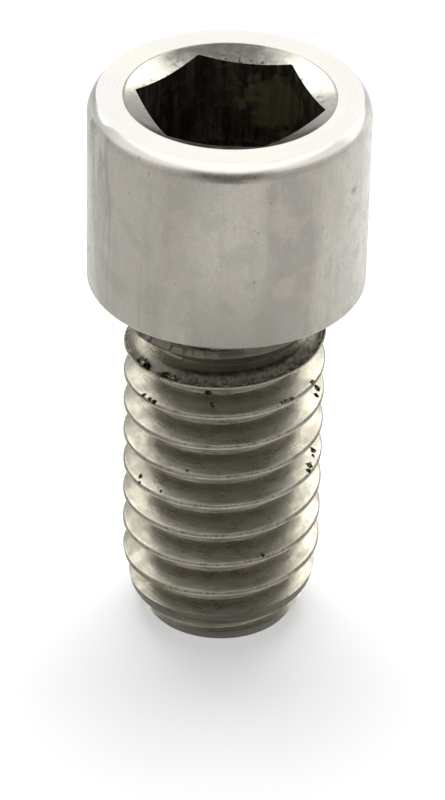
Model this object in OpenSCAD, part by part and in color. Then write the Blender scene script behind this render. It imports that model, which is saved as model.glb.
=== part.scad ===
// Hex socket cap screw with a plain round head and a thread up to the head.
// The origin is the middle of the end face and the screw points down, so its head is on top.

/* [Head] */
// Diameter of the head
head_d = 10.85; // [10.2:0.05:12.5]
// Height of the head, from its seat to its top
head_h = 8; // [7:0.02:9]
// Radius of the rounded edge between the top and the side
head_edge_r = 0.5; // [0.2:0.05:0.8]
// Radius of the small rounded edge between the side and the seat
seat_edge_r = 0.15; // [0.05:0.05:0.3]

/* [Socket] */
// Width of the hex socket across its flats
socket_af = 6.35; // [5.5:0.05:6.5]
// Depth of the flats, from the top of the head
socket_depth = 3.75; // [3:0.05:4.5]
// Turn of the socket's corners away from the X axis
socket_turn = -9.7; // [-30:0.1:30]
// Diameter of the countersink at the top of the head
countersink_d = 8; // [7.6:0.05:8.6]
// Width of the steep ring at the rim of the countersink
rim_w = 0.28; // [0.2:0.01:0.35]
// Depth of that ring
rim_h = 0.18; // [0.1:0.01:0.3]
// Angle between opposite sides of the shallow cone inside that ring
countersink_angle = 138; // [130:1:160]
// How much narrower the drilled hole is than the flats formed in it
pilot_gap = 0.3; // [0.1:0.05:0.6]
// How far the drilled hole's wall goes on below the flats
pilot_below = 0.25; // [0.1:0.05:0.6]
// Angle between opposite sides of the drilled hole's point
pilot_angle = 130; // [118:1:150]

/* [Shank] */
// Length from the seat of the head to the end face
shank_h = 15.47; // [12:0.01:40]
// Diameter of the plain neck under the head
neck_d = 7.6; // [7.3:0.05:7.8]
// Height of the plain neck, from the run-out of the thread to the seat
neck_h = 1.1; // [0.9:0.05:3]
// Height over which the crests fade into the neck
fade_h = 0.55; // [0.2:0.05:1]
// Radius of the fillet between the neck and the seat
fillet_r = 0.4; // [0.2:0.05:0.6]

/* [Thread] */
// Diameter over the crests
thread_d = 7.92; // [7.84:0.02:8.3]
// Distance from crest to crest along the axis, which is 18 crests to the inch
pitch = 1.411; // [1.3:0.001:1.6]
// Angle between the two flanks of the groove
flank_angle = 60; // [55:1:65]
// Width of the flat on a crest
crest_w = 0.18; // [0.12:0.01:0.24]
// Width of the flat at the bottom of the groove
root_w = 0.22; // [0.15:0.01:0.3]
// Turn about the axis at which the groove meets the level of the end face
thread_turn = 66.8; // [0:0.1:360]
// Turns over which the groove gets shallow and ends
runout_turns = 0.75; // [0.5:0.05:1.5]

/* [Point] */
// Diameter of the flat end face
point_d = 5.95; // [5.4:0.05:6.1]
// Diameter at the top of the chamfer
chamfer_d = 7.28; // [6.8:0.02:7.6]
// Height of the chamfer
chamfer_h = 1.13; // [0.8:0.01:1.6]
// Height at which the crests reach their full diameter
lead_h = 2.77; // [2:0.01:4]

/* [Hidden] */

ROUND_FN = 96;
// How far a cutter reaches past the surface it opens
REACH = 1;
// Facets of the groove in one turn
TURN_STEPS = 48;
FULL_TURN = 360;

head_r = head_d / 2;
crest_r = thread_d / 2;
neck_r = neck_d / 2;
top_z = shank_h + head_h;
groove_depth = (pitch - crest_w - root_w) / 2 / tan(flank_angle / 2);
// Height of the groove's middle where it has run out
runout_z = shank_h - neck_h;
// How far the groove's cutter stands out past the crests, so that its turns stay apart
cutter_out = crest_w / 2;

// Turned shape

// The head's half outline, with its two rounded edges
module head_half() {
    translate([0, shank_h + seat_edge_r])
        square([head_r, head_h - seat_edge_r - head_edge_r]);
    translate([0, shank_h])
        square([head_r - seat_edge_r, head_h - head_edge_r]);
    translate([0, top_z - head_h / 2])
        square([head_r - head_edge_r, head_h / 2]);
    translate([head_r - seat_edge_r, shank_h + seat_edge_r])
        circle(seat_edge_r, $fn = ROUND_FN);
    translate([head_r - head_edge_r, top_z - head_edge_r])
        circle(head_edge_r, $fn = ROUND_FN);
}

// The shank's half outline: end face, chamfer, lead, full crests and neck
module shank_half() {
    polygon([
        [0, 0],
        [point_d / 2, 0],
        [chamfer_d / 2, chamfer_h],
        [crest_r, lead_h],
        [crest_r, runout_z - fade_h],
        [neck_r, runout_z],
        [neck_r, shank_h + seat_edge_r],
        [0, shank_h + seat_edge_r]
    ]);
}

// The hollow corner between the neck and the seat
module fillet_half() {
    translate([neck_r, shank_h - fillet_r])
        difference() {
            square(fillet_r);
            translate([fillet_r, 0])
                circle(fillet_r, $fn = ROUND_FN);
        }
}

module blank() {
    rotate_extrude($fn = ROUND_FN) {
        head_half();
        shank_half();
        fillet_half();
    }
}

// Socket

// The hex recess, the countersink that scallops its rim and the drilled hole below it
module socket() {
    rim_r = countersink_d / 2;
    cone_r = rim_r - rim_w;
    cone_h = cone_r / tan(countersink_angle / 2);
    pilot_r = (socket_af - pilot_gap) / 2;
    pilot_point_h = pilot_r / tan(pilot_angle / 2);
    pilot_wall_h = pilot_below + socket_depth / 2;
    translate([0, 0, top_z - socket_depth])
        rotate([0, 0, socket_turn])
            cylinder(h = socket_depth + REACH, r = socket_af / 2 / cos(30), $fn = 6);
    translate([0, 0, top_z])
        rotate_extrude($fn = ROUND_FN)
            polygon([
                [0, -rim_h - cone_h],
                [cone_r, -rim_h],
                [rim_r + REACH * rim_w / rim_h, REACH],
                [0, REACH]
            ]);
    translate([0, 0, top_z - socket_depth - pilot_below])
        rotate_extrude($fn = ROUND_FN)
            polygon([[0, -pilot_point_h], [pilot_r, 0], [pilot_r, pilot_wall_h], [0, pilot_wall_h]]);
}

// Thread

// How deep the groove is, as a share of its full depth, at a height of its middle
function groove_share(z) =
    min(1, (runout_z - z) / (runout_turns * pitch));

// The groove's four corners as [radius, height], at a height of its middle
function groove_section(z) =
    let (
        root_r = crest_r - groove_depth * groove_share(z),
        out_r = crest_r + cutter_out,
        out_w = root_w + 2 * (out_r - root_r) * tan(flank_angle / 2)
    )
    [
        [out_r, z - out_w / 2],
        [root_r, z - root_w / 2],
        [root_r, z + root_w / 2],
        [out_r, z + out_w / 2]
    ];

// A right-hand helical cutter, from below the end face to where the groove has run out
module groove() {
    start_turn = -2;
    end_share = -cutter_out / groove_depth / 2;
    end_z = runout_z - end_share * runout_turns * pitch;
    steps = ceil((end_z / pitch - start_turn) * TURN_STEPS);
    points = [
        for (i = [0 : steps])
            let (
                turn = min(start_turn + i / TURN_STEPS, end_z / pitch),
                a = thread_turn + FULL_TURN * turn
            )
            for (p = groove_section(turn * pitch))
                [p[0] * cos(a), p[0] * sin(a), p[1]]
    ];
    last = 4 * steps;
    sides = [
        for (i = [0 : steps - 1], j = [0 : 3])
            let (
                a = 4 * i + j,
                b = 4 * i + (j + 1) % 4
            )
            each [[a, b + 4, b], [a, a + 4, b + 4]]
    ];
    ends = [[0, 2, 3], [0, 1, 2], [last, last + 2, last + 1], [last, last + 3, last + 2]];
    polyhedron(points, concat(sides, ends));
}

module cap_screw() {
    color("silver")
        difference() {
            blank();
            socket();
            groove();
        }
}

cap_screw();
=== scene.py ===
import bpy
import bmesh
import math
from mathutils import Matrix, Vector


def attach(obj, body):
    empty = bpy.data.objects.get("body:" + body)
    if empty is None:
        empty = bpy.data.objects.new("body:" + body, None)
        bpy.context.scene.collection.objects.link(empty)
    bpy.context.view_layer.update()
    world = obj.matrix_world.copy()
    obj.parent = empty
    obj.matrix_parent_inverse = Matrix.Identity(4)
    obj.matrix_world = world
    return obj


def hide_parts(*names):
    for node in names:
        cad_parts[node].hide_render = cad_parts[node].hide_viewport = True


MM = 0.001

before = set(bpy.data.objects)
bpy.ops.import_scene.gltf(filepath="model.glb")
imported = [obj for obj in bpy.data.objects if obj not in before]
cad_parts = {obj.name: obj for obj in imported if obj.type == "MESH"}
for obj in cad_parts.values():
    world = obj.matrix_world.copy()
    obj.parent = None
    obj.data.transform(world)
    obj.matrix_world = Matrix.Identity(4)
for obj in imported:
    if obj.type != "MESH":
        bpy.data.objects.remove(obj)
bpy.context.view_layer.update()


# Sizes in millimetres, the same as in the source

HEAD_R = 5.425
# Control points of the curve from the side to the top, from the head's top corner: (in, down)
HEAD_EDGE = [(0, 0.74), (0, 0.5), (0.135, 0.2), (0.335, 0)]
SEAT_EDGE = 0.15
SEAT_Z = 15.47
TOP_Z = 23.47
SOCKET_FLATS = 6.35
SOCKET_DEPTH = 3.75
SOCKET_TURN = math.radians(-9.7)
RIM_R = 4.0
RIM_W = 0.28
RIM_H = 0.18
CONE_HALF_ANGLE = math.radians(69)
DRILL_R = 3.025
DRILL_BELOW = 0.25
DRILL_HALF_ANGLE = math.radians(65)
NECK_R = 3.8
FILLET_R = 0.4
CREST_R = 3.96
PITCH = 1.411
CREST_W = 0.18
ROOT_W = 0.22
FLANK_HALF_ANGLE = math.radians(30)
THREAD_TURN = 66.8
RUNOUT_Z = 14.37
FADE_H = 0.55
POINT_R = 2.975
CHAMFER_R = 3.64
CHAMFER_H = 1.13
LEAD_Z = 2.77

# Where the neck's wall ends, and the radius of the edge there
NECK_END_Z = RUNOUT_Z - 0.05
NECK_END_R = 0.3
# The cone that fills the groove below the neck: its least radius, and its depth
RUNOUT_R = 2.9
RUNOUT_DEPTH = 1.4
# Radius of the hexagon's corners
HEX_CORNER_R = 0.07
# How far the countersink's cutter flares out past the rim
FLARE = 0.3

ROUND_STEPS = 192
THREAD_STEPS = 160
THREAD_TURNS = 13
EDGE_STEPS = 14
# How far a cutter reaches past the metal
REACH = 1.0
JOIN_GAP = 0.0005
# Edges between faces that turn more than this stay sharp
SHARP_ANGLE = math.radians(38)


# Modelling helpers

def deselect():
    bpy.ops.object.select_all(action="DESELECT")


def activate(piece):
    deselect()
    piece.select_set(True)
    bpy.context.view_layer.objects.active = piece


def apply_place(piece):
    activate(piece)
    bpy.ops.object.transform_apply(location=True, rotation=True, scale=True)


def apply_modifier(piece, modifier):
    activate(piece)
    bpy.ops.object.modifier_apply(modifier=modifier.name)


def draw(name, points):
    """Draws an open line of (radius, height) points in the XZ plane, and stays in edit mode."""
    radius, height = points[0]
    deselect()
    bpy.ops.mesh.primitive_plane_add(size=MM, location=(radius * MM, 0, height * MM))
    line = bpy.context.object
    line.name = name
    apply_place(line)
    bpy.ops.object.mode_set(mode="EDIT")
    bpy.ops.mesh.select_mode(type="VERT")
    bpy.ops.mesh.select_all(action="SELECT")
    bpy.ops.mesh.merge(type="CENTER")
    for here, there in zip(points, points[1:]):
        step = ((there[0] - here[0]) * MM, 0, (there[1] - here[1]) * MM)
        bpy.ops.mesh.extrude_region_move(TRANSFORM_OT_translate={"value": step})
    return line


def close_up():
    """Merges what meets and turns the faces outward, in edit mode."""
    bpy.ops.mesh.select_all(action="SELECT")
    bpy.ops.mesh.remove_doubles(threshold=JOIN_GAP * MM)
    bpy.ops.mesh.normals_make_consistent(inside=False)


def turn(name, outline, material):
    """Spins an outline that starts and ends on the axis into a solid."""
    piece = draw(name, outline)
    bpy.ops.mesh.select_all(action="SELECT")
    bpy.ops.mesh.spin(steps=ROUND_STEPS, angle=math.tau, center=(0, 0, 0), axis=(0, 0, 1))
    close_up()
    bpy.ops.object.mode_set(mode="OBJECT")
    piece.data.materials.append(material)
    return piece


def select_edges(piece, test):
    """Selects the edges whose two ends both pass the test, in edit mode."""
    bpy.ops.mesh.select_mode(type="EDGE")
    bpy.ops.mesh.select_all(action="DESELECT")
    mesh = bmesh.from_edit_mesh(piece.data)
    for edge in mesh.edges:
        edge.select_set(all(test(vertex.co / MM) for vertex in edge.verts))
    bmesh.update_edit_mesh(piece.data)


def near(value, target):
    return abs(value - target) < 0.002


def radius_of(point):
    return math.hypot(point.x, point.y)


def round_ring(piece, radius, height, size, segments):
    """Bevels the ring of edges at a radius and height."""
    activate(piece)
    bpy.ops.object.mode_set(mode="EDIT")
    select_edges(piece, lambda point: near(radius_of(point), radius) and near(point.z, height))
    bpy.ops.mesh.bevel(offset=size * MM, segments=segments, profile=0.5, affect="EDGES")
    bpy.ops.object.mode_set(mode="OBJECT")


def combine(piece, other, operation):
    """Joins, cuts or trims the piece by another solid, which is used up."""
    modifier = piece.modifiers.new(operation.lower(), "BOOLEAN")
    modifier.operation = operation
    modifier.solver = "EXACT"
    modifier.material_mode = "TRANSFER"
    modifier.object = other
    apply_modifier(piece, modifier)
    bpy.data.objects.remove(other)


# Head and neck

def head_blank(side, shaded_neck_finish):
    """The head with its rounded edges and the neck, down to the cone that ends the groove."""
    outline = [
        (0, RUNOUT_Z - RUNOUT_DEPTH),
        (RUNOUT_R, RUNOUT_Z - RUNOUT_DEPTH),
        (NECK_R, NECK_END_Z),
        (NECK_R, SEAT_Z),
        (HEAD_R, SEAT_Z),
    ]
    for step in range(EDGE_STEPS + 1):
        t = step / EDGE_STEPS
        weights = ((1 - t) ** 3, 3 * t * (1 - t) ** 2, 3 * t * t * (1 - t), t ** 3)
        edge_in = sum(weight * point[0] for weight, point in zip(weights, HEAD_EDGE))
        edge_down = sum(weight * point[1] for weight, point in zip(weights, HEAD_EDGE))
        outline.append((HEAD_R - edge_in, TOP_Z - edge_down))
    outline.append((0, TOP_Z))
    head = turn("cap_screw_detail", outline, side)
    round_ring(head, HEAD_R, SEAT_Z, SEAT_EDGE, 4)
    round_ring(head, NECK_R, SEAT_Z, FILLET_R, 6)
    round_ring(head, NECK_R, NECK_END_Z, NECK_END_R, 4)
    head.data.materials.append(shaded_neck_finish)
    for face in head.data.polygons:
        middle = face.center / MM
        if middle.z < SEAT_Z + 0.001 and radius_of(middle) < HEAD_R - SEAT_EDGE:
            face.material_index = 1
    return head


# Socket

def socket_cutter(wall, countersink_finish):
    """The hexagon with small rounded corners, the drilled hole below it and the countersink."""
    hex_r = SOCKET_FLATS / 2 / math.cos(math.radians(30))
    floor_z = TOP_Z - SOCKET_DEPTH
    deselect()
    bpy.ops.mesh.primitive_cylinder_add(
        vertices=6,
        radius=hex_r * MM,
        depth=(SOCKET_DEPTH + REACH) * MM,
        location=(0, 0, (floor_z + (SOCKET_DEPTH + REACH) / 2) * MM),
        rotation=(0, 0, SOCKET_TURN + math.pi / 2),
    )
    cutter = bpy.context.object
    apply_place(cutter)
    bpy.ops.object.mode_set(mode="EDIT")
    bpy.ops.mesh.select_mode(type="EDGE")
    bpy.ops.mesh.select_all(action="DESELECT")
    mesh = bmesh.from_edit_mesh(cutter.data)
    for edge in mesh.edges:
        low, high = sorted(vertex.co.z for vertex in edge.verts)
        edge.select_set(high - low > MM)
    bmesh.update_edit_mesh(cutter.data)
    bpy.ops.mesh.bevel(offset=HEX_CORNER_R * MM, segments=3, affect="EDGES")
    bpy.ops.object.mode_set(mode="OBJECT")
    cutter.data.materials.append(wall)

    drill_outline = [
        (0, floor_z - DRILL_BELOW - DRILL_R / math.tan(DRILL_HALF_ANGLE)),
        (DRILL_R, floor_z - DRILL_BELOW),
        (DRILL_R, floor_z + SOCKET_DEPTH / 2),
        (0, floor_z + SOCKET_DEPTH / 2),
    ]
    combine(cutter, turn("drill", drill_outline, wall), "UNION")

    cone_r = RIM_R - RIM_W
    countersink_outline = [
        (0, TOP_Z - RIM_H - cone_r / math.tan(CONE_HALF_ANGLE)),
        (cone_r, TOP_Z - RIM_H),
        (RIM_R - 0.03, TOP_Z - 0.045),
        (RIM_R + 0.03, TOP_Z - 0.012),
        (RIM_R + 0.08, TOP_Z),
        (RIM_R + FLARE, TOP_Z + 0.05),
        (RIM_R + FLARE, TOP_Z + REACH),
        (0, TOP_Z + REACH),
    ]
    combine(cutter, turn("countersink", countersink_outline, countersink_finish), "UNION")
    return cutter


# Thread

def thread_line():
    """One pitch of the thread, from the middle of a groove to the middle of the next."""
    depth = (PITCH - CREST_W - ROOT_W) / 2 / math.tan(FLANK_HALF_ANGLE)
    root_r = CREST_R - depth
    root_side = PITCH / 2 - ROOT_W / 2

    def flank(share):
        return root_r + share * depth, root_side - share * depth * math.tan(FLANK_HALF_ANGLE)

    half = [
        (CREST_R - 0.01, 0),
        (CREST_R, 0.03),
        (CREST_R - 0.003, 0.058),
        (CREST_R - 0.014, 0.082),
        (CREST_R - 0.036, 0.106),
        flank(0.92),
        flank(0.78),
        flank(0.6),
        flank(0.42),
        flank(0.22),
        (root_r + 0.085, root_side - 0.035),
        (root_r + 0.025, root_side + 0.02),
        (root_r, PITCH / 2),
    ]
    return [(r, -z) for r, z in reversed(half)] + half[1:]


def threaded_rod(finish):
    """A threaded rod, longer than the shank at both ends."""
    start_z = -THREAD_TURN / 360 * PITCH - 1.5 * PITCH
    line = draw("thread", [(r, z + start_z) for r, z in thread_line()])
    bpy.ops.object.mode_set(mode="OBJECT")
    screw = line.modifiers.new("turns", "SCREW")
    screw.axis = "Z"
    screw.angle = math.tau
    screw.screw_offset = PITCH * MM
    screw.iterations = THREAD_TURNS
    screw.steps = THREAD_STEPS
    screw.render_steps = THREAD_STEPS
    apply_modifier(line, screw)
    bpy.ops.object.mode_set(mode="EDIT")
    close_up()
    ends = ((-0.5, {"clear_inner": True}), (RUNOUT_Z + 0.6, {"clear_outer": True}))
    for height, side in ends:
        bpy.ops.mesh.select_all(action="SELECT")
        bpy.ops.mesh.bisect(
            plane_co=(0, 0, height * MM),
            plane_no=(0, 0, 1),
            use_fill=True,
            threshold=JOIN_GAP * MM,
            **side,
        )
    close_up()
    bpy.ops.object.mode_set(mode="OBJECT")
    line.data.materials.append(finish)
    return line


# Bearing in degrees, height, distance from the axis and size of each nick
NICKS = [
    (-10.3, 7.74, 3.68, 0.17),
    (-15, 7.66, 3.72, 0.1),
    (-24, 7.62, 3.8, 0.18),
    (-27.8, 7.52, 3.87, 0.13),
    (-6.5, 10.55, 3.72, 0.2),
    (-13, 10.5, 3.74, 0.15),
    (-28.1, 11.76, 3.93, 0.14),
    (-47.6, 11.66, 3.96, 0.13),
    (-51.6, 11.67, 3.94, 0.14),
    (-54.5, 11.66, 3.95, 0.11),
    (-64.5, 4.58, 3.89, 0.12),
    (-67.2, 4.56, 3.93, 0.07),
    (-96.6, 11.71, 3.5, 0.13),
    (-101.3, 11.95, 3.12, 0.13),
    (-111, 8.66, 3.86, 0.08),
    (-121, 12.8, 3.95, 0.11),
    (-126.2, 12.84, 3.86, 0.1),
    (-130.1, 12.66, 3.99, 0.11),
    (-133.6, 11.33, 3.94, 0.15),
    (-137.3, 11.33, 3.92, 0.12),
    (-143, 11.31, 3.91, 0.13),
    (-144.8, 12.72, 3.92, 0.16),
    (-149, 12.7, 3.92, 0.16),
    (-149.4, 7.15, 3.74, 0.12),
    (-145.9, 7.04, 3.95, 0.1),
    (-128.9, 7.18, 3.82, 0.08),
    (20, 8.99, 3.95, 0.15),
    (75, 5.1, 3.95, 0.14),
    (110, 10.75, 3.96, 0.18),
    (165, 6.73, 3.95, 0.16),
]


def flatten_shank(screw):
    """Splits the shank's faces into triangles, which are flat, so that small cuts come out clean."""
    activate(screw)
    bpy.ops.object.mode_set(mode="EDIT")
    bpy.ops.mesh.select_mode(type="FACE")
    bpy.ops.mesh.select_all(action="DESELECT")
    mesh = bmesh.from_edit_mesh(screw.data)
    for face in mesh.faces:
        face.select_set(face.calc_center_median().z / MM < SEAT_Z - 0.01)
    bmesh.update_edit_mesh(screw.data)
    bpy.ops.mesh.quads_convert_to_tris(quad_method="BEAUTY", ngon_method="BEAUTY")
    bpy.ops.object.mode_set(mode="OBJECT")


def nick_cutter(nicks, finish):
    """Small lumpy stones, each of which leaves a dent where it meets the thread."""
    lumps = bpy.data.textures.new("lumps", "CLOUDS")
    lumps.noise_scale = 0.12 * MM
    stones = []
    for bearing, height, radius, size in nicks:
        turn_to = math.radians(bearing)
        place = (radius * math.cos(turn_to) * MM, radius * math.sin(turn_to) * MM, height * MM)
        deselect()
        bpy.ops.mesh.primitive_ico_sphere_add(subdivisions=3, radius=size * MM, location=place)
        stone = bpy.context.object
        stone.scale = (1, 1, 0.8)
        apply_place(stone)
        displace = stone.modifiers.new("lumps", "DISPLACE")
        displace.texture = lumps
        displace.texture_coords = "LOCAL"
        displace.strength = size * MM
        displace.mid_level = 0.6
        apply_modifier(stone, displace)
        stones.append(stone)
    deselect()
    for stone in stones:
        stone.select_set(True)
    bpy.context.view_layer.objects.active = stones[0]
    bpy.ops.object.join()
    stones[0].data.materials.append(finish)
    return stones[0]


def above_crest(point):
    """How far above the middle of the nearest crest a point is, along the axis."""
    turned = math.degrees(math.atan2(point.y, point.x)) - THREAD_TURN
    return ((point.z / PITCH - turned / 360) % 1 - 0.5) * PITCH


def ragged_crests(screw):
    """The first crests under the head weren't rolled full, so they are ragged."""
    group = screw.vertex_groups.new(name="crests")
    upper_half = screw.vertex_groups.new(name="upper_half")
    for vertex in screw.data.vertices:
        point = vertex.co / MM
        radius = radius_of(point)
        if point.z > RUNOUT_Z or not CREST_R - 0.35 <= radius <= CREST_R + 0.1:
            continue
        rising = min(1, max(0, (point.z - 11.9) / 0.6))
        near_top = max(0, 1 - abs(above_crest(point) - 0.13) / 0.14)
        upper_half.add([vertex.index], rising * near_top, "REPLACE")
        if radius > CREST_R - 0.07:
            share = min(1, max(0.06, (point.z - 11.2) / 1.2))
            group.add([vertex.index], share, "REPLACE")
    trim = screw.modifiers.new("trim", "DISPLACE")
    trim.vertex_group = upper_half.name
    trim.strength = -0.16 * MM
    trim.mid_level = 0
    apply_modifier(screw, trim)
    grain = bpy.data.textures.new("ragged_edge", "CLOUDS")
    grain.noise_scale = 0.16 * MM
    grain.noise_depth = 2
    displace = screw.modifiers.new("ragged", "DISPLACE")
    displace.texture = grain
    displace.texture_coords = "LOCAL"
    displace.vertex_group = group.name
    displace.strength = 0.12 * MM
    displace.mid_level = 0.66
    apply_modifier(screw, displace)
    screw.vertex_groups.clear()


def shank_envelope(end_painted_shade):
    """What trims the rod: the end face, the chamfer, the lead and the fade into the neck."""
    lead_slope = (CREST_R - CHAMFER_R) / (LEAD_Z - CHAMFER_H)
    fade_slope = (CREST_R - NECK_R) / FADE_H
    out_r = CREST_R + 0.2
    outline = [
        (0, 0),
        (POINT_R, 0),
        (CHAMFER_R, CHAMFER_H),
        (out_r, LEAD_Z + (out_r - CREST_R) / lead_slope),
        (out_r, RUNOUT_Z - (out_r - NECK_R) / fade_slope),
        (NECK_R - 0.15, RUNOUT_Z + 0.15 / fade_slope),
        (0, RUNOUT_Z + 0.15 / fade_slope),
    ]
    return turn("envelope", outline, end_painted_shade)


# Materials

def add_node(tree, kind, inputs=None, **settings):
    node = tree.nodes.new(kind)
    for name, value in settings.items():
        setattr(node, name, value)
    for name, value in (inputs or {}).items():
        if isinstance(value, bpy.types.NodeSocket):
            tree.links.new(value, node.inputs[name])
        else:
            node.inputs[name].default_value = value
    return node


def math_node(tree, operation, first, second=0.0):
    return add_node(tree, "ShaderNodeMath", {0: first, 1: second}, operation=operation).outputs[0]


def ramp(tree, value, low, high, to_low, to_high, smooth=True):
    """Maps a value from one range to another and keeps it there."""
    inputs = {"Value": value, "From Min": low, "From Max": high, "To Min": to_low, "To Max": to_high}
    kind = "SMOOTHSTEP" if smooth else "LINEAR"
    return add_node(tree, "ShaderNodeMapRange", inputs, interpolation_type=kind).outputs[0]


def window(tree, value, low, high, soft):
    """One between two values and none outside them, with soft ends."""
    rising = ramp(tree, value, low - soft, low + soft, 0, 1)
    falling = ramp(tree, value, high - soft, high + soft, 1, 0)
    return math_node(tree, "MULTIPLY", rising, falling)


def blend_colors(tree, share, first, second, mode="MIX"):
    node = add_node(tree, "ShaderNodeMix", data_type="RGBA", blend_type=mode)
    for index, value in ((0, share), (6, first), (7, second)):
        if isinstance(value, bpy.types.NodeSocket):
            tree.links.new(value, node.inputs[index])
        elif index == 0:
            node.inputs[index].default_value = value
        else:
            node.inputs[index].default_value = (*value, 1)
    return node.outputs[2]


class Place:
    """Where a point of the screw is, in millimetres: on its axis, away from it and around it."""

    def __init__(self, tree):
        self.tree = tree
        coordinates = add_node(tree, "ShaderNodeTexCoord").outputs["Object"]
        scaled = add_node(
            tree, "ShaderNodeVectorMath", {0: coordinates, "Scale": 1 / MM}, operation="SCALE"
        )
        self.point = scaled.outputs[0]
        parts = add_node(tree, "ShaderNodeSeparateXYZ", {0: self.point})
        self.height = parts.outputs[2]
        flat = add_node(
            tree, "ShaderNodeVectorMath", {0: self.point, 1: (1, 1, 0)}, operation="MULTIPLY"
        ).outputs[0]
        self.radius = add_node(
            tree, "ShaderNodeVectorMath", {0: flat}, operation="LENGTH"
        ).outputs["Value"]
        self.bearing = add_node(
            tree, "ShaderNodeVectorMath", {0: flat}, operation="NORMALIZE"
        ).outputs[0]

    def above_crest(self):
        """How far above the middle of the nearest crest the point is, along the axis."""
        parts = add_node(self.tree, "ShaderNodeSeparateXYZ", {0: self.point}).outputs
        angle = math_node(self.tree, "ARCTAN2", parts[1], parts[0])
        turned = math_node(self.tree, "DIVIDE", angle, math.tau)
        turns = math_node(self.tree, "DIVIDE", self.height, PITCH)
        turns = math_node(self.tree, "SUBTRACT", turns, turned)
        turns = math_node(self.tree, "ADD", turns, THREAD_TURN / 360)
        phase = math_node(self.tree, "SUBTRACT", math_node(self.tree, "FRACT", turns), 0.5)
        return math_node(self.tree, "MULTIPLY", phase, PITCH)

    def away_from(self, spot):
        offset = add_node(
            self.tree, "ShaderNodeVectorMath", {0: self.point, 1: spot}, operation="SUBTRACT"
        ).outputs[0]
        return add_node(
            self.tree, "ShaderNodeVectorMath", {0: offset}, operation="LENGTH"
        ).outputs["Value"]

    def streaks(self, around, along, across, detail=3, seed=0):
        """Noise that is stretched along the directions whose number is small."""
        side = add_node(
            self.tree, "ShaderNodeVectorMath", {0: self.bearing, "Scale": around}, operation="SCALE"
        ).outputs[0]
        up = add_node(
            self.tree,
            "ShaderNodeCombineXYZ",
            {"Z": math_node(self.tree, "MULTIPLY", self.height, along)},
        ).outputs[0]
        vector = add_node(
            self.tree, "ShaderNodeVectorMath", {0: side, 1: up}, operation="ADD"
        ).outputs[0]
        depth = math_node(self.tree, "MULTIPLY", self.radius, across)
        return add_node(
            self.tree,
            "ShaderNodeTexNoise",
            {"Vector": vector, "W": math_node(self.tree, "ADD", depth, seed), "Scale": 1,
             "Detail": detail, "Roughness": 0.6},
            noise_dimensions="4D",
        ).outputs["Fac"]

    def patches(self, scale, detail=2, seed=0):
        return add_node(
            self.tree,
            "ShaderNodeTexNoise",
            {"Vector": self.point, "W": seed, "Scale": scale, "Detail": detail},
            noise_dimensions="4D",
        ).outputs["Fac"]


def start_steel(name):
    material = bpy.data.materials.new(name)
    material.use_nodes = True
    tree = material.node_tree
    shader = tree.nodes["Principled BSDF"]
    shader.inputs["Metallic"].default_value = 1
    return material, tree, shader, Place(tree)


def finish_steel(tree, shader, color, roughness, height, relief):
    """Connects a colour, a roughness and a relief that is given in millimetres."""
    bump = add_node(tree, "ShaderNodeBump", {"Height": height, "Strength": 1, "Distance": relief * MM})
    tree.links.new(color, shader.inputs["Base Color"])
    tree.links.new(roughness, shader.inputs["Roughness"])
    tree.links.new(bump.outputs[0], shader.inputs["Normal"])


# Upright bands on the head's side, partly stains and partly painted reflections: from and to as the sine
# of the bearing, share and tone
SIDE_STAIN_AND_REFLECTION_BANDS = [
    (-1.1, -0.95, 0.6, (0.72, 0.7, 0.67)),
    (-0.86, -0.48, 0.45, (0.55, 0.53, 0.47)),
    (-0.47, -0.26, 0.5, (0.38, 0.36, 0.315)),
    (-0.14, 0.17, 0.4, (0.58, 0.545, 0.48)),
    (0.28, 0.58, 0.8, (0.33, 0.308, 0.28)),
    (0.7, 0.93, 0.55, (0.66, 0.64, 0.58)),
    (0.93, 1.1, 0.8, (0.9, 0.88, 0.83)),
]
# The speck of dirt on the head's side
SIDE_SPECK = (4.73, -2.66, 21.0)


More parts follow.
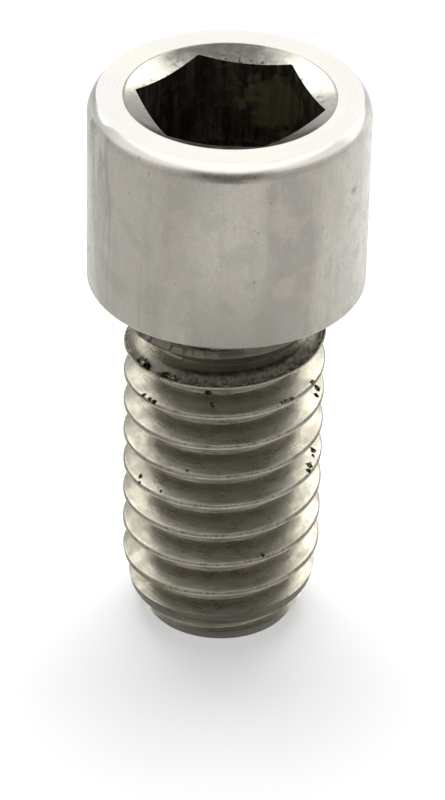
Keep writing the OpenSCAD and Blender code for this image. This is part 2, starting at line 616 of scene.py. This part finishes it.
def satin_side():
    """The head's side: soft upright bands that are partly stains and partly painted reflections,
    mottling, fine grain, painted shade toward the seat, and a painted highlight on the top edge's front
    with painted shade at its back.
    """
    material, tree, shader, place = start_steel("satin_side")
    broad = place.streaks(around=2.3, along=0.06, across=0, detail=2, seed=2)
    narrow = place.streaks(around=9, along=0.25, across=0, detail=3, seed=31)
    across = add_node(tree, "ShaderNodeSeparateXYZ", {0: place.bearing}).outputs[0]
    across = math_node(tree, "ADD", across, ramp(tree, broad, 0.3, 0.7, -0.07, 0.07))
    across = math_node(tree, "ADD", across, ramp(tree, narrow, 0.3, 0.7, -0.07, 0.07))
    grain = place.streaks(around=34, along=5, across=0, detail=3, seed=5)
    color = (0.47, 0.447, 0.395)
    # Painted reflections, partly stains: lighter and darker upright stripes laid into the side's colour
    for low_end, high_end, share, tone in SIDE_STAIN_AND_REFLECTION_BANDS:
        stain_and_reflection_band = math_node(tree, "MULTIPLY", window(tree, across, low_end, high_end, 0.1), share)
        color = blend_colors(tree, stain_and_reflection_band, color, tone)
    mottle = place.patches(0.9, detail=3, seed=1)
    color = blend_colors(tree, ramp(tree, mottle, 0.5, 0.66, 0, 0.5), color, (0.365, 0.385, 0.31))
    color = blend_colors(tree, ramp(tree, mottle, 0.5, 0.36, 0, 0.45), color, (0.52, 0.455, 0.395))
    color = blend_colors(tree, ramp(tree, narrow, 0.5, 0.68, 0, 0.3), color, (0.34, 0.335, 0.3))
    # Painted shade: the side darkens toward the seat, fully where the bearing's sideways part is small
    # and a quarter elsewhere, as a painted reflection of the floor's shadow
    low = ramp(tree, place.height, SEAT_Z - 1, TOP_Z - 2.5, 0.85, 0)
    middle = ramp(tree, window(tree, across, -0.26, 0.34, 0.14), 0, 1, 0.25, 1)
    painted_shadow_reflection = math_node(tree, "MULTIPLY", low, middle)
    color = blend_colors(tree, painted_shadow_reflection, color, (0.26, 0.246, 0.213))
    # Painted reflection: a darker upright line near the left edge, stronger toward the top
    high = ramp(tree, place.height, TOP_Z - 6, TOP_Z - 1.5, 0.35, 0.75)
    painted_left_reflection_line = math_node(tree, "MULTIPLY", high, window(tree, across, -0.93, -0.89, 0.025))
    color = blend_colors(tree, painted_left_reflection_line, color, (0.3, 0.3, 0.29))
    specks = ramp(tree, place.patches(2.6, detail=2, seed=21), 0.7, 0.76, 0, 0.6)
    color = blend_colors(tree, specks, color, (0.14, 0.12, 0.1))
    uneven = ramp(tree, grain, 0.3, 0.7, -0.1, 0.1)
    speck_edge = math_node(tree, "ADD", place.away_from(SIDE_SPECK), uneven)
    color = blend_colors(tree, ramp(tree, speck_edge, 0.05, 0.26, 0.7, 0), color, (0.13, 0.15, 0.13))
    color = blend_colors(tree, ramp(tree, grain, 0.4, 0.75, 0, 0.2), color, (0.34, 0.31, 0.27))
    roughness = ramp(tree, grain, 0.3, 0.7, 0.24, 0.31)
    # Painted highlight and shade on the top edge: lighter at the front and darker at the back
    edge = ramp(tree, place.height, TOP_Z - 0.42, TOP_Z - 0.24, 0, 1)
    facing = add_node(tree, "ShaderNodeSeparateXYZ", {0: place.bearing}).outputs[1]
    to_the_back = ramp(tree, facing, -0.35, 0.1, 0, 1)
    edge_highlight_and_shade = blend_colors(tree, to_the_back, (0.8, 0.78, 0.73), (0.4, 0.39, 0.37))
    color = blend_colors(tree, edge, color, edge_highlight_and_shade)
    roughness = math_node(tree, "SUBTRACT", roughness, math_node(tree, "MULTIPLY", edge, 0.1))
    finish_steel(tree, shader, color, roughness, grain, 0.003)
    return material


def polished_top():
    """The flat top: faint rings left by the turning tool, with a warmer cast to one side."""
    material, tree, shader, place = start_steel("polished_top")
    rings = place.streaks(around=0.6, along=0, across=14, detail=3, seed=3)
    cast = place.patches(0.35, detail=2, seed=6)
    warm = ramp(tree, cast, 0.35, 0.65, 0, 1)
    color = blend_colors(tree, warm, (0.74, 0.715, 0.65), (0.71, 0.695, 0.665))
    color = blend_colors(tree, ramp(tree, rings, 0.45, 0.7, 0, 0.1), color, (0.45, 0.43, 0.4))
    finish_steel(tree, shader, color, ramp(tree, rings, 0.3, 0.7, 0.16, 0.22), rings, 0.0012)
    return material


def pressed_countersink():
    """The countersink: lightly scuffed, with painted shade at the sides and the front, chipped at its
    lower edge.
    """
    material, tree, shader, place = start_steel("pressed_countersink")
    scuffs = place.streaks(around=9, along=1.5, across=3, detail=4, seed=4)
    chips = place.patches(5, detail=2, seed=12)
    bright = ramp(tree, scuffs, 0.35, 0.7, 0, 1)
    color = blend_colors(tree, bright, (0.5, 0.485, 0.425), (0.6, 0.585, 0.52))
    parts = add_node(tree, "ShaderNodeSeparateXYZ", {0: place.bearing}).outputs
    # Painted shade: the countersink is painted darker to the left, the right and the front
    left = ramp(tree, parts[0], -0.4, -0.75, 0, 0.85)
    color = blend_colors(tree, left, color, (0.17, 0.165, 0.135))
    right = ramp(tree, parts[0], 0.55, 0.85, 0, 0.8)
    color = blend_colors(tree, right, color, (0.25, 0.243, 0.215))
    front = ramp(tree, parts[1], -0.1, -0.45, 0, 0.8)
    color = blend_colors(tree, front, color, (0.13, 0.125, 0.11))
    low = ramp(tree, place.radius, 3.75, 3.3, 0, 1)
    chipped = math_node(tree, "MULTIPLY", low, ramp(tree, chips, 0.54, 0.64, 0, 0.8))
    color = blend_colors(tree, chipped, color, (0.1, 0.095, 0.07))
    finish_steel(tree, shader, color, ramp(tree, scuffs, 0.3, 0.7, 0.2, 0.28), scuffs, 0.003)
    return material


# Middle of the olive patch on the hexagon's rear wall
OLIVE_PATCH = (1.7, 2.6, 21.5)


def socket_painted_shade():
    """The hexagon: painted dark as the shade deep in the socket, with upright marks and olive and rust
    patches.
    """
    material, tree, shader, place = start_steel("socket_painted_shade")
    marks = place.streaks(around=14, along=0.3, across=3, detail=4, seed=8)
    mottle = place.patches(2.4, detail=4, seed=11)
    marked = ramp(tree, marks, 0.35, 0.65, 0, 1)
    # Painted shade: near-black base tones for the shade deep in the socket
    color = blend_colors(tree, marked, (0.05, 0.045, 0.035), (0.12, 0.105, 0.08))
    color = blend_colors(tree, ramp(tree, mottle, 0.5, 0.64, 0, 0.55), color, (0.2, 0.18, 0.13))
    away = place.away_from(OLIVE_PATCH)
    away = math_node(tree, "ADD", away, ramp(tree, mottle, 0.3, 0.7, 0.5, -0.5))
    olive = ramp(tree, away, 0.8, 1.7, 0.85, 0)
    color = blend_colors(tree, olive, color, (0.33, 0.31, 0.17))
    rust = math_node(tree, "MULTIPLY", olive, ramp(tree, marks, 0.52, 0.62, 0, 0.6))
    color = blend_colors(tree, rust, color, (0.3, 0.19, 0.11))
    finish_steel(tree, shader, color, ramp(tree, marks, 0.3, 0.7, 0.38, 0.52), mottle, 0.03)
    return material


def rolled_thread():
    """The thread: olive brown, darker deeper in the grooves, with painted highlights along the crests
    that are partly wear, painted shade on the flanks above the crests and under the head, and rough at
    the top, where the first crest is partly painted shade.
    """
    material, tree, shader, place = start_steel("rolled_thread")
    lines = place.streaks(around=2.2, along=9, across=9, detail=4, seed=9)
    stains = place.patches(1.1, detail=3, seed=13)
    fine = place.streaks(around=3, along=26, across=26, detail=3, seed=23)
    # Darker deeper in the grooves, lighter toward the crests
    lighter_outward = ramp(tree, place.radius, 3.1, 3.7, 0, 1)
    color = blend_colors(tree, lighter_outward, (0.25, 0.23, 0.178), (0.35, 0.327, 0.27))
    color = blend_colors(tree, ramp(tree, stains, 0.5, 0.68, 0, 0.4), color, (0.24, 0.24, 0.16))
    color = blend_colors(tree, ramp(tree, lines, 0.45, 0.72, 0, 0.35), color, (0.13, 0.12, 0.095))
    color = blend_colors(tree, ramp(tree, fine, 0.5, 0.68, 0, 0.4), color, (0.12, 0.11, 0.085))
    above = place.above_crest()
    pitted = place.patches(7, detail=2, seed=17)
    # Painted shade: the flank above each crest is painted darker
    flank = math_node(tree, "MULTIPLY", window(tree, above, 0.1, 0.5, 0.07), 0.6)
    color = blend_colors(tree, flank, color, (0.15, 0.142, 0.112))
    # Painted highlights, partly wear: light lines along the crest's lower edge and on the flank just
    # above the crest
    upper_highlight_line = math_node(tree, "MULTIPLY", window(tree, above, 0.12, 0.15, 0.02), 0.3)
    rubbed_and_highlight = math_node(tree, "ADD", window(tree, above, -0.1, -0.02, 0.02), upper_highlight_line)
    rubbed_and_highlight = math_node(tree, "MULTIPLY", rubbed_and_highlight, ramp(tree, stains, 0.3, 0.6, 0.75, 0.4))
    color = blend_colors(tree, rubbed_and_highlight, color, (0.56, 0.53, 0.46))
    seam = window(tree, above, 0, 0.1, 0.03)
    seam = math_node(tree, "MULTIPLY", seam, ramp(tree, pitted, 0.5, 0.62, 0.3, 0.85))
    color = blend_colors(tree, seam, color, (0.09, 0.08, 0.06))
    crest = ramp(tree, place.radius, 3.68, 3.8, 0, 1)
    first_crest = ramp(tree, place.height, 11.8, 12.4, 0, 1)
    # Partly painted shade: the first crest under the head is painted nearly black, less so to the left,
    # over its real roughness
    unfilled_and_shade = math_node(tree, "MULTIPLY", window(tree, above, -0.02, 0.4, 0.04), first_crest)
    across = add_node(tree, "ShaderNodeSeparateXYZ", {0: place.bearing}).outputs[0]
    unfilled_and_shade = math_node(tree, "MULTIPLY", unfilled_and_shade, ramp(tree, across, -0.75, -0.35, 0.4, 1))
    unfilled_and_shade = math_node(tree, "MULTIPLY", unfilled_and_shade, ramp(tree, pitted, 0.42, 0.6, 0.8, 0.97))
    color = blend_colors(tree, unfilled_and_shade, color, (0.035, 0.03, 0.023))
    # Painted shade under the head: the grooves darken toward the top
    groove = math_node(tree, "SUBTRACT", 1.0, crest)
    painted_shade_under_head = math_node(tree, "MULTIPLY", groove, ramp(tree, place.height, 12.7, 13.5, 0, 0.1))
    color = blend_colors(tree, painted_shade_under_head, color, (0.07, 0.06, 0.045))
    soil = place.streaks(around=5, along=2.4, across=2.4, detail=2, seed=27)
    color = blend_colors(tree, ramp(tree, soil, 0.48, 0.7, 0, 0.45), color, (0.16, 0.15, 0.12))
    roughness = ramp(tree, soil, 0.35, 0.65, 0.26, 0.4)
    relief = math_node(tree, "ADD", math_node(tree, "MULTIPLY", fine, 0.5), soil)
    finish_steel(tree, shader, color, roughness, relief, 0.019)
    return material


def turned_metal(name, dark, light):
    """Neck, seat and cut end: turned, with fine rings."""
    material, tree, shader, place = start_steel(name)
    rings = place.streaks(around=1.2, along=7, across=7, detail=3, seed=15)
    color = blend_colors(tree, ramp(tree, rings, 0.35, 0.65, 0, 1), dark, light)
    finish_steel(tree, shader, color, ramp(tree, rings, 0.3, 0.7, 0.36, 0.48), rings, 0.012)
    return material


def bruised_metal():
    """The inside of a nick, which holds dark dirt."""
    material, tree, shader, place = start_steel("bruised_metal")
    dirt = place.patches(6, detail=2, seed=19)
    bare = ramp(tree, dirt, 0.45, 0.6, 0, 1)
    color = blend_colors(tree, bare, (0.05, 0.045, 0.035), (0.2, 0.18, 0.14))
    finish_steel(tree, shader, color, ramp(tree, dirt, 0.3, 0.7, 0.4, 0.5), dirt, 0.02)
    return material


# Camera, at the photograph's viewing angle

CAMERA_ELEVATION = math.radians(33.9)
CAMERA_ROLL = math.radians(1.27)
CAMERA_DISTANCE = 166.2
CAMERA_LENS = 188.75
AIM = Vector((-0.04, 0, 9.58))


def add_camera():
    back = Vector((0, -math.cos(CAMERA_ELEVATION), math.sin(CAMERA_ELEVATION)))
    right = Vector((1, 0, 0))
    up = back.cross(right)
    turned_right = math.cos(CAMERA_ROLL) * right + math.sin(CAMERA_ROLL) * up
    turned_up = back.cross(turned_right)
    place = Matrix((turned_right, turned_up, back)).transposed().to_4x4()
    place.translation = (AIM + back * CAMERA_DISTANCE) * MM
    data = bpy.data.cameras.new("camera")
    data.lens = CAMERA_LENS
    data.sensor_width = 36
    data.clip_start = 10 * MM
    data.clip_end = 10
    camera = bpy.data.objects.new("camera", data)
    camera.matrix_world = place
    bpy.context.scene.collection.objects.link(camera)
    bpy.context.scene.camera = camera


# Studio

PAPER = 0.62
PAPER_GLOW = 0.5
DARK_WALL = 0.12
BACK_WALL = 1.65
CEILING = 1.65


def add_floor():
    """White paper, which the metal mirrors as darker toward the front and to the left."""
    deselect()
    bpy.ops.mesh.primitive_plane_add(size=3, location=(0, 0, 0))
    floor = bpy.context.object
    floor.name = "floor"
    material = bpy.data.materials.new("floor_white")
    material.use_nodes = True
    tree = material.node_tree
    tree.nodes.clear()
    path = add_node(tree, "ShaderNodeLightPath").outputs
    seen = math_node(tree, "MAXIMUM", path["Is Camera Ray"], path["Is Glossy Ray"])
    seen = math_node(tree, "MAXIMUM", seen, path["Is Transmission Ray"])
    paper = add_node(tree, "ShaderNodeBsdfDiffuse", {"Color": (PAPER, PAPER, PAPER, 1)})
    glow_strength = math_node(tree, "MULTIPLY", seen, PAPER_GLOW)
    glow = add_node(tree, "ShaderNodeEmission", {"Strength": glow_strength})
    lit = add_node(tree, "ShaderNodeAddShader", {0: paper.outputs[0], 1: glow.outputs[0]})
    dim = add_node(tree, "ShaderNodeEmission", {"Strength": DARK_WALL})
    parts = add_node(
        tree, "ShaderNodeSeparateXYZ", {0: add_node(tree, "ShaderNodeTexCoord").outputs["Object"]}
    ).outputs
    to_the_front = math_node(
        tree,
        "MULTIPLY",
        ramp(tree, parts["Y"], -0.045, -0.1, 0, 1),
        window(tree, parts["X"], -0.035, 0.035, 0.02),
    )
    to_the_left = ramp(tree, parts["X"], 0.005, -0.03, 0, 0.36)
    mirrored_dark = math_node(tree, "MAXIMUM", to_the_front, to_the_left)
    mirrored_dark = math_node(tree, "MAXIMUM", mirrored_dark, 0.16)
    share = math_node(tree, "MULTIPLY", path["Is Glossy Ray"], mirrored_dark)
    shaders = {0: share, 1: lit.outputs[0], 2: dim.outputs[0]}
    paper_or_dark = add_node(tree, "ShaderNodeMixShader", shaders)
    add_node(tree, "ShaderNodeOutputMaterial", {"Surface": paper_or_dark.outputs[0]})
    floor.data.materials.append(material)


def add_world():
    """A room that is bright behind and above and dark low in front, with a dark card overhead."""
    world = bpy.data.worlds.new("room")
    bpy.context.scene.world = world
    world.use_nodes = True
    tree = world.node_tree
    tree.nodes.clear()
    direction = add_node(tree, "ShaderNodeTexCoord").outputs["Generated"]
    parts = add_node(tree, "ShaderNodeSeparateXYZ", {0: direction}).outputs
    behind = ramp(tree, parts["Y"], -0.1, 0.4, DARK_WALL, BACK_WALL)
    above = ramp(tree, parts["Z"], 0.25, 0.55, 0, CEILING)
    beside = math_node(tree, "SUBTRACT", 1.15, window(tree, parts["X"], -0.48, 0.48, 0.16))
    light = math_node(tree, "MAXIMUM", math_node(tree, "MAXIMUM", behind, above), beside)
    left_low = math_node(
        tree,
        "MULTIPLY",
        ramp(tree, parts["X"], -0.3, -0.48, 0, 0.5),
        ramp(tree, parts["Z"], 0.4, 0.6, 1, 0),
    )
    left_low = math_node(tree, "MULTIPLY", left_low, ramp(tree, parts["Y"], 0.1, 0.4, 0, 1))
    light = math_node(tree, "MULTIPLY", light, math_node(tree, "SUBTRACT", 1.0, left_low))
    card = math_node(
        tree,
        "MULTIPLY",
        window(tree, parts["X"], -0.28, 0.5, 0.08),
        window(tree, parts["Y"], -0.42, 0.48, 0.06),
    )
    card = math_node(tree, "MULTIPLY", card, ramp(tree, parts["Z"], 0.3, 0.5, 0, 0.81))
    light = math_node(tree, "MULTIPLY", light, math_node(tree, "SUBTRACT", 1.0, card))
    path = add_node(tree, "ShaderNodeLightPath").outputs
    on_paper = ramp(tree, path["Is Diffuse Ray"], 0, 1, 1, 0.12, smooth=False)
    light = math_node(tree, "MULTIPLY", light, on_paper)
    room = add_node(tree, "ShaderNodeBackground", {"Strength": light})
    add_node(tree, "ShaderNodeOutputWorld", {"Surface": room.outputs[0]})


def add_softbox(name, azimuth, elevation, distance, width, height, brightness, in_metal=True):
    """A lamp aimed at the screw, with azimuth and elevation in degrees."""
    a, e = math.radians(azimuth), math.radians(elevation)
    away = Vector((math.cos(e) * math.cos(a), math.cos(e) * math.sin(a), math.sin(e)))
    data = bpy.data.lights.new(name, "AREA")
    data.shape = "RECTANGLE"
    data.size = width
    data.size_y = height
    data.energy = brightness * math.pi * width * height
    lamp = bpy.data.objects.new(name, data)
    lamp.location = away * distance + Vector((0, 0, 0.01))
    lamp.rotation_euler = away.to_track_quat("Z", "Y").to_euler()
    lamp.visible_glossy = in_metal
    lamp.visible_diffuse = not in_metal
    bpy.context.scene.collection.objects.link(lamp)


# Scene

bpy.context.scene.view_settings.view_transform = "Standard"
add_camera()
add_floor()
add_world()
add_softbox("right_softbox", 45, 34, 0.35, 0.2, 0.27, 5)
add_softbox("left_softbox", 135, 34, 0.35, 0.2, 0.27, 3.5)
add_softbox("key_softbox", 90, 70, 0.4, 0.34, 0.26, 7, in_metal=False)

# Painted shade: the neck's tones are dark for the shade under the head
neck_painted_shade = turned_metal("turned_neck_painted_shade", (0.1, 0.088, 0.068), (0.18, 0.16, 0.127))
# Painted shade: the cut end's tones are dark for the floor's contact shadow that it mirrors
end_painted_shade = turned_metal("cut_end_painted_shade", (0.11, 0.1, 0.082), (0.19, 0.175, 0.145))
screw_piece = head_blank(satin_side(), neck_painted_shade)
shank = threaded_rod(rolled_thread())
combine(shank, shank_envelope(end_painted_shade), "INTERSECT")
combine(screw_piece, shank, "UNION")
combine(screw_piece, socket_cutter(socket_painted_shade(), pressed_countersink()), "DIFFERENCE")
flatten_shank(screw_piece)
nick_finish = bruised_metal()
# Neighbouring stones overlap, so each cut takes every third one
for first in range(3):
    combine(screw_piece, nick_cutter(NICKS[first::3], nick_finish), "DIFFERENCE")
ragged_crests(screw_piece)

screw_piece.data.materials.append(polished_top())
top_index = len(screw_piece.material_slots) - 1
for face in screw_piece.data.polygons:
    if face.normal.z > 0.99 and near(face.center.z / MM, TOP_Z):
        face.material_index = top_index
activate(screw_piece)
bpy.ops.object.shade_smooth_by_angle(angle=SHARP_ANGLE)

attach(screw_piece, "root")
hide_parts("cap_screw")
